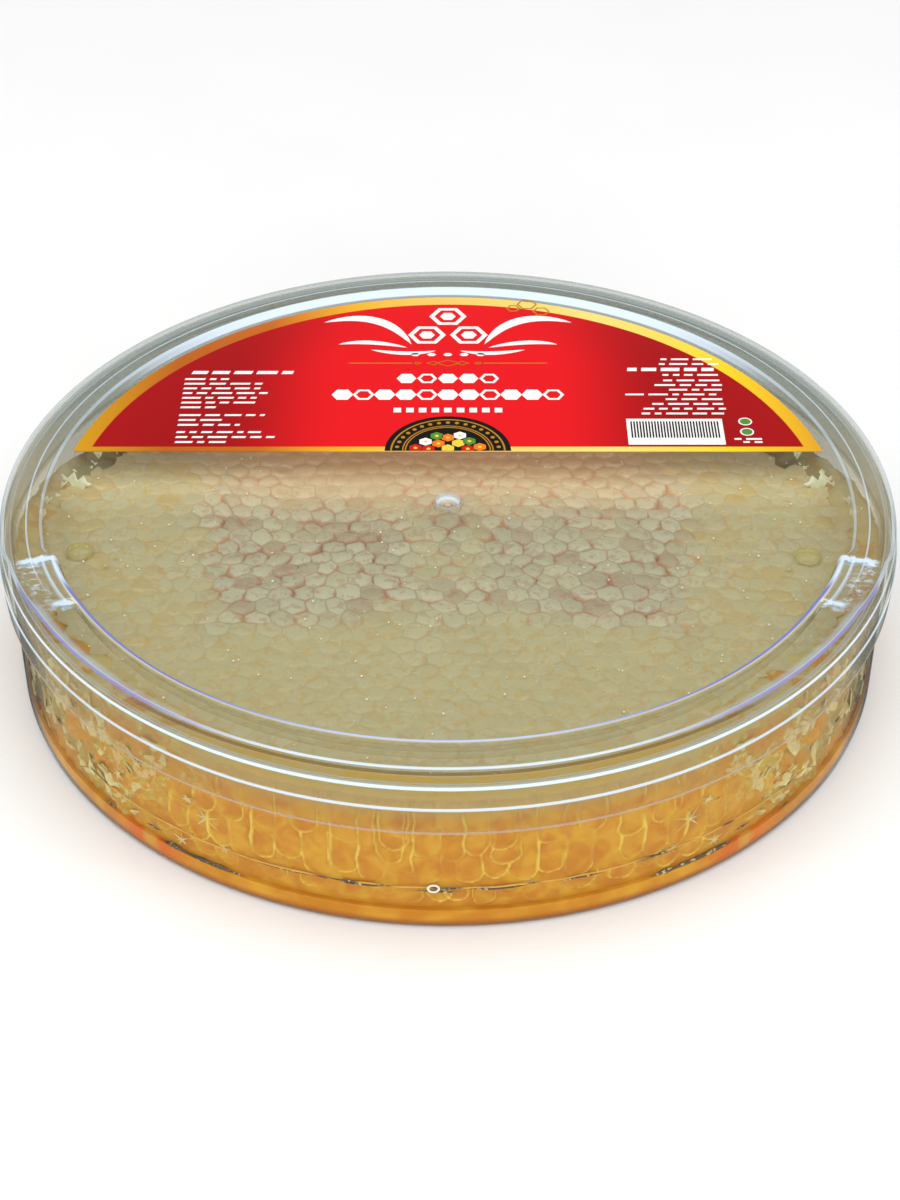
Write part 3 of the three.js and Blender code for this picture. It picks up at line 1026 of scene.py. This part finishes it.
def make_flakes(wax):
    """Flakes of torn wax that stand up along the bays, with ragged upper edges."""
    draws = random.Random(23)
    bm = bmesh.new()
    rim = bm.verts.layers.float.new("rim")
    for i in range(26):
        azimuth = 91 + i * 1.8 + draws.uniform(-0.7, 0.7)
        reach = comb_reach(azimuth) - draws.uniform(-0.4, 1.8)
        tall = draws.uniform(2.4, 4.4)
        broad = draws.uniform(0.9, 1.5)
        if i == 4:
            azimuth, reach, tall, broad = 99.5, 97.5, 5.2, 2.0
        made = bmesh.ops.create_grid(bm, x_segments=7, y_segments=4, size=0.5)["verts"]
        curl = draws.uniform(0.5, 1.3)
        for vert in made:
            across, up = vert.co.x, vert.co.y + 0.5
            ragged = 0.5 * abs(math.sin(across * 9 + i)) + draws.uniform(0, 0.35)
            wide = draws.uniform(0.92, 1.08) * (3.0 + 1.8 * up) * broad
            vert[rim] = up
            vert.co = Vector((
                across * wide, curl * across * across * 3 - 0.5 * up * up,
                up * tall * (1 - ragged * (up > 0.7) * 0.6),
            ))
        facing = spun(180 + 0.45 * (azimuth - 60) + draws.uniform(-20, 20))
        leaning = spun(draws.uniform(6, 38), "X")
        place = moved(*at_azimuth(reach, azimuth, COMB_TOP - 1.2))
        bmesh.ops.transform(bm, verts=made, matrix=place @ facing @ leaning)
    bmesh.ops.recalc_face_normals(bm, faces=bm.faces)
    bmesh.ops.solidify(bm, geom=bm.faces, thickness=0.28)
    mirrored(bm)
    finished("wax_flakes", bm, [wax], sharp=50)


# Tufts of broken wax against the wall, as (azimuth, height, reach)
TUFTS = [(30.4, 18.7, 5.2), (33, 22.5, 2.6), (45, 17.5, 3.0), (34.5, 8.5, 3.4), (52, 24, 2.4),
         (58, 15, 2.2), (28, 11.5, 2.6), (66, 20, 2.4), (74, 12, 2.2), (41, 25, 2.6)]


def make_tufts(wax):
    """Star-like tufts of wax splinters pressed against the tub's wall."""
    draws = random.Random(31)
    bm = bmesh.new()
    rim = bm.verts.layers.float.new("rim")
    for azimuth, height, reach in TUFTS:
        for splinter in range(7):
            length = reach * draws.uniform(0.45, 0.8)
            made = bmesh.ops.create_cone(
                bm, cap_ends=True, segments=5, radius1=draws.uniform(0.22, 0.42), radius2=0.05,
                depth=length,
            )["verts"]
            spread = spun(splinter * 51 + draws.uniform(-20, 20), "Y") @ moved(0, 0, length / 2)
            flat = Matrix.Diagonal((1, 0.45, 1, 1))
            place = moved(*at_azimuth(wall_radius(height) - 0.05, azimuth, height)) @ spun(azimuth)
            bmesh.ops.transform(bm, verts=made, matrix=place @ flat @ spread)
    for vert in bm.verts:
        vert[rim] = 0.85
    mirrored(bm)
    finished("wax_tufts", bm, [wax], sharp=50)


def streak_finish():
    """The seam between the comb's layers: gold, broken by dark streaks."""
    finish = Finish("comb_seam")
    dark = finish.attributes("dark")
    fine = finish.grain(0.9, 3, 0.6)
    shade = finish.blend(colour(220, 164, 58), colour(66, 54, 32), dark)
    shade = finish.blend(shade, colour(206, 186, 132), fine.span(0.54, 0.62) * dark)
    return finish.done(finish.principled(Base_Color=shade, Roughness=0.35, Coat_Weight=0.3))


def make_streaks():
    """Thin dark and golden lines where the comb's layers meet, and along its foot.

    A run is (start azimuth, end azimuth, height, thickness, least darkness). The cracks are dark
    runs, given for the right side and repeated on the left.
    """
    bm = bmesh.new()
    dark = bm.verts.layers.float.new("dark")
    runs = [
        (-52, 52, SEAM_HEIGHT, 0.24, 0), (25, 38, 5.2, 0.62, 1), (-38, -25, 5.2, 0.62, 1),
        (-13, -7.5, SEAM_HEIGHT - 0.5, 0.34, 1), (2.5, 9.5, SEAM_HEIGHT - 0.45, 0.34, 1),
        (-4.2, 1.6, SEAM_HEIGHT - 1.0, 0.26, 1), (13, 19, SEAM_HEIGHT - 0.5, 0.3, 1),
        (-24, -16, SEAM_HEIGHT - 0.3, 0.22, 1), (22, 30, SEAM_HEIGHT - 0.3, 0.2, 1),
    ]
    cracks = [
        (58, 60.6, 15.8, 0.45), (56, 57.4, 12.6, 0.3), (46, 48.8, 5.4, 0.4), (37.6, 40.4, 8.0, 0.5),
        (33.6, 35.2, 21.5, 0.25), (45.4, 47, 16.4, 0.25), (62, 64.4, 22, 0.35), (67, 69.6, 10, 0.4),
    ]
    for start, end, height, thick in cracks:
        runs += [(start, end, height, thick, 1), (-end, -start, height, thick, 1)]
    for start, end, height, thick, darkness in runs:
        corners = bmesh.ops.create_circle(bm, segments=6, radius=thick)["verts"]
        radius = wall_radius(height) + 0.1
        aim = spun(start) @ moved(0, -radius, height) @ spun(90, "Y") @ spun(90)
        bmesh.ops.transform(bm, verts=corners, matrix=aim)
        before = set(bm.verts) - set(corners)
        bmesh.ops.spin(
            bm, geom=corners + edges_of(corners), cent=(0, 0, 0), axis=(0, 0, 1), dvec=(0, 0, 0),
            angle=math.radians(end - start), steps=max(int((end - start) * 3), 8),
        )
        for vert in set(bm.verts) - before:
            azimuth = azimuth_of(vert.co)
            taper = min(smooth_step(start, start + 2, azimuth), smooth_step(end, end - 2, azimuth))
            thin = (taper * 0.9 + 0.1) * (0.75 + 0.5 * lumps((azimuth, 0, 0), 1.5, 2))
            middle = at_azimuth(radius, azimuth, height)
            wave = 0.25 * lumps((azimuth, 0, 0), 3, 12)
            vert.co = middle + (vert.co - middle) * thin + Vector((0, 0, wave))
            vert[dark] = max(darkness, smooth_step(0.1, 0.3, lumps((azimuth, 5, 0), 4, 3)))
    bmesh.ops.recalc_face_normals(bm, faces=bm.faces)
    finished("comb_streaks", bm, [streak_finish()])


def make_honey():
    """The free honey under the comb, two drops, white dew beads that stand in for glints on the caps, and
    a bubble at the seam.
    """
    section = rounded([
        (0, TUB_WALL - 0.7, 0, 0, 0),
        (FOOT_RADIUS + 0.4, TUB_WALL - 0.7, 0.2, 0, 0),
        (HEEL_RADIUS - 0.4, HEEL_HEIGHT + 0.4, 0.4, 0, 0),
        (HEEL_RADIUS - 0.5, HONEY_LEVEL, 0.1, 0, 0),
        (0, HONEY_LEVEL, 0, 0, 0),
    ])
    fill = turned(lambda azimuth: section, 180)
    finished("honey_fill", fill, [run_honey()], ["honey_pool"])
    drops = bmesh.new()
    spots = [
        (-90.4, -12.8, 3.4), (88.2, -14.9, 3.4), (-83.5, -18.5, 0.8), (83, -20, 0.7), (-81.5, -15.2, 0.5),
    ]
    for x, y, radius in spots:
        dome = moved(x, y, COMB_TOP + 0.6) @ Matrix.Diagonal((radius, radius, radius * 0.5, 1))
        bmesh.ops.create_uvsphere(drops, u_segments=28, v_segments=14, radius=1, matrix=dome)
    finished("honey_drops", drops, [clear_honey("clear_honey", colour(196, 184, 96), 0.2)])
    # Tiny white beads: painted glints on the caps.
    dew = bmesh.new()
    draws = random.Random(41)
    for _ in range(260):
        reach = 100 * math.sqrt(draws.random())
        spot = at_azimuth(reach, draws.uniform(-180, 180), COMB_TOP + 0.35)
        size = draws.uniform(0.16, 0.34)
        bead = moved(*spot) @ Matrix.Diagonal((size, size, size * 0.8, 1))
        bmesh.ops.create_uvsphere(dew, u_segments=8, v_segments=5, radius=1, matrix=bead)
    finished("honey_dew", dew, [clear_honey("honey_glint", colour(252, 250, 235), 0.55)])
    bubble = bmesh.new()
    section = moved(1.05, 0, 0) @ spun(90, "X")
    ring = bmesh.ops.create_circle(bubble, segments=10, radius=0.24, matrix=section)["verts"]
    bmesh.ops.spin(
        bubble, geom=ring + edges_of(ring), cent=(0, 0, 0), axis=(0, 0, 1), dvec=(0, 0, 0),
        angle=2 * math.pi, steps=28, use_merge=True,
    )
    stand = moved(*at_azimuth(107.3, -1.7, SEAM_HEIGHT + 0.1)) @ spun(90, "X")
    oval = Matrix.Diagonal((1.15, 0.95, 1, 1))
    bmesh.ops.transform(bubble, verts=bubble.verts, matrix=stand @ oval)
    bmesh.ops.recalc_face_normals(bubble, faces=bubble.faces)
    skin = clear_honey("bubble_skin", colour(246, 246, 240), 0.8)
    finished("honey_bubble", bubble, [skin])


# The label's print

WHITE, GOLD, BLACK, RED, ORANGE, YELLOW, GREEN = range(7)
PRINT_LIFT = 0.02
PRINT_THICKNESS = 0.012


class Print:
    """Flat shapes of colour laid on the label, in shares of the lid's radius."""

    def __init__(self):
        self.bm = bmesh.new()

    def close(self, verts, ink_number, layer):
        faces = {face for vert in verts for face in vert.link_faces}
        for face in faces:
            face.material_index = ink_number
        height = LABEL_TOP + PRINT_LIFT * (1 + layer)
        matrix = moved(0, 0, height) @ Matrix.Diagonal((LID_RADIUS, LID_RADIUS, 1, 1))
        bmesh.ops.transform(self.bm, verts=verts, matrix=matrix)

    def bar(self, x, y, width, height, ink_number=WHITE, layer=0, slant=0.0):
        made = bmesh.ops.create_grid(
            self.bm, x_segments=1, y_segments=1, size=0.5,
            matrix=moved(x, y, 0) @ Matrix.Diagonal((width, height, 1, 1)),
        )["verts"]
        for vert in made:
            vert.co.x += (vert.co.y - y) * slant
        self.close(made, ink_number, layer)

    def shape(self, x, y, wide, tall, sides=6, ink_number=WHITE, layer=0, turn=0.0):
        matrix = moved(x, y, 0) @ Matrix.Diagonal((wide, tall, 1, 1)) @ spun(turn)
        made = bmesh.ops.create_circle(
            self.bm, cap_ends=True, segments=sides, radius=1, matrix=matrix,
        )["verts"]
        self.close(made, ink_number, layer)

    def ring(self, x, y, outer, thick, sides=6, ink_number=WHITE, layer=0, turn=0.0, squash=1.0):
        loops = []
        verts = []
        matrix = moved(x, y, 0) @ Matrix.Diagonal((1, squash, 1, 1)) @ spun(turn)
        for radius in (outer, outer - thick):
            made = bmesh.ops.create_circle(
                self.bm, segments=sides, radius=radius, matrix=matrix,
            )["verts"]
            loops += edges_of(made)
            verts += made
        bmesh.ops.bridge_loops(self.bm, edges=loops)
        self.close(verts, ink_number, layer)

    def swash(self, start, bend, end, thick, steps=16):
        """A curved white stroke, thickest in its middle."""
        start, bend, end = (Vector((*spot, 0)) for spot in (start, bend, end))
        edge = [self.bm.verts.new(start), self.bm.verts.new(start + Vector((1e-4, 1e-4, 0)))]
        spine = [self.bm.edges.new(edge)]
        verts = list(edge)
        ends = spine
        for step in range(1, steps + 1):
            made = bmesh.ops.extrude_edge_only(self.bm, edges=ends)["geom"]
            pair = [part for part in made if isinstance(part, bmesh.types.BMVert)]
            ends = [part for part in made if isinstance(part, bmesh.types.BMEdge)]
            ends = [part for part in ends if set(part.verts) == set(pair)]
            t = step / steps
            middle = start * (1 - t) ** 2 + bend * (2 * t * (1 - t)) + end * t ** 2
            along = (bend - start) * (1 - t) + (end - bend) * t
            across = Vector((-along.y, along.x, 0)).normalized()
            across *= thick * math.sin(math.pi * t) ** 0.7
            for vert, side in zip(pair, (-0.5, 0.5)):
                vert.co = middle + across * side + Vector((0, 1e-4 * side, 0))
            verts += pair
        self.close(verts, WHITE, 0)

    def half(self):
        """Cuts away what lies below the label's straight edge."""
        bmesh.ops.bisect_plane(
            self.bm, geom=self.bm.verts[:] + self.bm.edges[:] + self.bm.faces[:],
            plane_co=(0, LABEL_CHORD + 0.05, 0), plane_no=(0, -1, 0), clear_outer=True,
        )


def text_rows(sheet, draws, left, right, rows, thick, slant):
    """Rows of short strokes in place of lines of small print.

    A row is (y, its share of the width, whether it is aligned to the right).
    """
    for y, share, aligned_right in rows:
        width = (right - left) * share
        x = right - width if aligned_right else left
        end = x + width
        while x < end - 0.008:
            stroke = min(draws.uniform(0.014, 0.052), end - x)
            sheet.bar(x + stroke / 2, y, stroke, thick, slant=slant)
            x += stroke + 0.011


def make_label():
    film = printed_film()
    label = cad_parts["label"]
    for material_slot in label.material_slots:
        material_slot.material = film
    draws = random.Random(5)
    sheet = Print()
    for place, y, size in ((-0.052, 0.7, 0.047), (0.052, 0.7, 0.047), (0, 0.79, 0.047)):
        sheet.ring(place, y, size, 0.013, turn=30)
        sheet.shape(place, y, size * 0.42, size * 0.42, turn=30)
    for side in (-1, 1):
        sheet.swash((side * 0.09, 0.655), (side * 0.16, 0.83), (side * 0.31, 0.76), 0.03)
        sheet.swash((side * 0.1, 0.64), (side * 0.2, 0.68), (side * 0.27, 0.655), 0.018)
        sheet.swash((side * 0.03, 0.625), (side * 0.1, 0.6), (side * 0.19, 0.63), 0.016)
    for i in range(5):
        sheet.shape(-0.08 + 0.04 * i, 0.607, 0.011, 0.008, turn=30)
    for x, y, size in ((0.2, 0.85, 0.026), (0.235, 0.815, 0.022), (0.165, 0.83, 0.018)):
        sheet.ring(x, y, size, 0.005, turn=30, ink_number=GOLD)
    sheet.bar(-0.16, 0.567, 0.164, 0.0035, GOLD)
    sheet.bar(0.16, 0.567, 0.164, 0.0035, GOLD)
    for x, wide in ((0, 0.03), (-0.035, 0.018), (0.035, 0.018), (-0.075, 0.012), (0.075, 0.012)):
        sheet.ring(x, 0.567, wide, 0.004, sides=4, ink_number=GOLD, squash=0.5)
    for count, y, size, gap in ((5, 0.497, 0.024, 0.05), (11, 0.424, 0.026, 0.0505)):
        for i in range(count):
            x = (i - (count - 1) / 2) * gap
            if (i + count) % 3:
                sheet.shape(x, y, size, size, turn=30)
            else:
                sheet.ring(x, y, size, 0.008, turn=30)
    for i in range(9):
        sheet.bar(-0.12 + 0.03 * i, 0.356, 0.018, 0.02)
    sheet.shape(0, CHORD, 0.1466, 0.1466, sides=72, ink_number=BLACK, layer=1)
    sheet.ring(0, CHORD, 0.1338, 0.0042, sides=72, ink_number=GOLD, layer=2)
    for radius in (0.1064, 0.1):
        sheet.ring(0, CHORD, radius, 0.003, sides=72, ink_number=GOLD, layer=2)
    for i in range(17):
        turn = math.radians(8 + 164 * i / 16)
        x, y = 0.119 * math.cos(turn), CHORD + 0.119 * math.sin(turn)
        sheet.shape(x, y, 0.0055, 0.0055, ink_number=GOLD, layer=2)
    mosaic = [
        (-0.075, 0.012, RED), (-0.052, 0.038, WHITE), (-0.045, 0.008, RED), (-0.022, 0.03, ORANGE),
        (0, 0.01, YELLOW), (0, 0.055, ORANGE), (0.024, 0.032, YELLOW), (0.046, 0.008, RED),
        (0.05, 0.04, GREEN), (0.074, 0.016, ORANGE), (-0.026, 0.062, GREEN), (0.028, 0.064, WHITE),
    ]
    for x, y, tint in mosaic:
        sheet.shape(x, CHORD + y, 0.0165, 0.0165, ink_number=tint, layer=3)
        sheet.shape(x, CHORD + y, 0.005, 0.005, ink_number=YELLOW, layer=4)
    text_rows(sheet, draws, -0.62, -0.37, [(0.524, 0.98, False)], 0.014, 0.3)
    rows = [0.494, 0.473, 0.452, 0.431, 0.41, 0.389, 0.368, 0.334, 0.313, 0.292, 0.261, 0.24, 0.219]
    lengths = [0.45, 0.8, 0.86, 0.9, 0.82, 0.76, 0.42, 0.86, 0.5, 0.62, 0.84, 0.98, 0.5]
    rows = [(y, share, False) for y, share in zip(rows, lengths)]
    text_rows(sheet, draws, -0.635, -0.4, rows, 0.0075, 0.3)
    rows = [0.585, 0.563, 0.513, 0.488, 0.467, 0.446, 0.425, 0.404, 0.383, 0.362, 0.341]
    lengths = [0.5, 0.52, 0.5, 0.5, 0.58, 0.46, 0.84, 0.5, 0.62, 0.7, 0.72]
    rows = [(y, share, True) for y, share in zip(rows, lengths)]
    text_rows(sheet, draws, 0.38, 0.66, rows, 0.0075, 0.1)
    text_rows(sheet, draws, 0.38, 0.66, [(0.538, 0.8, True)], 0.015, 0.1)
    sheet.bar(0.533, 0.263, 0.226, 0.11)
    for i in range(30):
        sheet.bar(0.431 + 0.007 * i, 0.272, 0.0038, 0.07, BLACK, layer=1)
    for y in (0.306, 0.262):
        sheet.shape(0.7, y, 0.013, 0.013, sides=20, ink_number=GREEN, layer=1)
        sheet.ring(0.7, y, 0.0165, 0.0035, sides=20, layer=1)
    text_rows(sheet, draws, 0.668, 0.732, [(0.232, 1, True), (0.219, 0.7, True)], 0.007, 0)
    sheet.half()
    inks = [
        ink("ink_white", colour(248, 246, 242)), ink("foil_gold", colour(196, 138, 40), 0.25),
        ink("ink_black", colour(22, 20, 16)), ink("ink_red", colour(206, 30, 24)),
        ink("ink_orange", colour(238, 120, 30)), ink("ink_yellow", colour(248, 204, 70)),
        ink("ink_green", colour(84, 140, 52)),
    ]
    bmesh.ops.recalc_face_normals(sheet.bm, faces=sheet.bm.faces)
    for face in sheet.bm.faces:
        if face.normal.z < 0:
            face.normal_flip()
    made = bmesh.ops.extrude_face_region(sheet.bm, geom=sheet.bm.faces[:])["geom"]
    lifted = [part for part in made if isinstance(part, bmesh.types.BMVert)]
    bmesh.ops.translate(sheet.bm, vec=(0, 0, PRINT_THICKNESS), verts=lifted)
    bmesh.ops.recalc_face_normals(sheet.bm, faces=sheet.bm.faces)
    finished("label_shapes", sheet.bm, inks, sharp=30)


# The studio, in metres

CAMERA_SPOT = (0, -0.4884, 0.3817)
CAMERA_PITCH = 52.72
CAMERA_LENS = 71.91
CAMERA_SHIFT = 0.00175


def softbox(name, spot, aim, width, depth, power):
    light = bpy.data.lights.new(name, "AREA")
    light.shape = "RECTANGLE"
    light.size = width
    light.size_y = depth
    light.energy = power
    lamp = bpy.data.objects.new(name, light)
    lamp.location = spot
    lamp.rotation_euler = (Vector(aim) - Vector(spot)).to_track_quat("-Z", "Y").to_euler()
    bpy.context.collection.objects.link(lamp)


def make_studio():
    ground = bmesh.new()
    bmesh.ops.create_grid(ground, x_segments=1, y_segments=1, size=3, matrix=moved(0, 0, -0.0002))
    mesh = bpy.data.meshes.new("studio_floor")
    ground.to_mesh(mesh)
    ground.free()
    mesh.materials.append(studio_floor())
    floor = bpy.data.objects.new("studio_floor", mesh)
    bpy.context.collection.objects.link(floor)
    scene = bpy.context.scene
    scene.world = bpy.data.worlds.new("studio")
    scene.world.use_nodes = True
    backdrop = scene.world.node_tree.nodes["Background"]
    backdrop.inputs["Color"].default_value = (1, 1, 1, 1)
    backdrop.inputs["Strength"].default_value = 0.4
    softbox("overhead", (0, -0.2, 1.4), (0, 0, 0), 2.4, 2.0, 24)
    softbox("front", (0, -1.3, 0.45), (0, 0, 0.02), 1.8, 0.5, 8)
    softbox("strip_left", (-0.85, -0.45, 0.7), (0, 0, 0.04), 0.03, 0.7, 0.8)
    softbox("strip_right", (0.85, -0.45, 0.7), (0, 0, 0.04), 0.03, 0.7, 0.8)
    lens = bpy.data.cameras.new("photo_view")
    lens.lens = CAMERA_LENS
    lens.shift_x = CAMERA_SHIFT
    camera = bpy.data.objects.new("photo_view", lens)
    camera.location = CAMERA_SPOT
    camera.rotation_euler = (math.radians(CAMERA_PITCH), 0, 0)
    bpy.context.collection.objects.link(camera)
    scene.camera = camera
    scene.view_settings.view_transform = "Standard"
    scene.cycles.transparent_max_bounces = 24
    scene.cycles.diffuse_bounces = 3
    scene.cycles.glossy_bounces = 2


make_pack()
golden_wax = torn_wax("golden_wax", colour(180, 156, 78), colour(218, 204, 146), 0.06)
make_caps(capped_wax())
make_side(cut_comb())
make_shards(golden_wax)
pale_wax = torn_wax("pale_wax", colour(196, 194, 156), colour(222, 222, 194), 0.26)
make_flakes(pale_wax)
make_tufts(golden_wax)
make_streaks()
make_honey()
make_label()
make_studio()
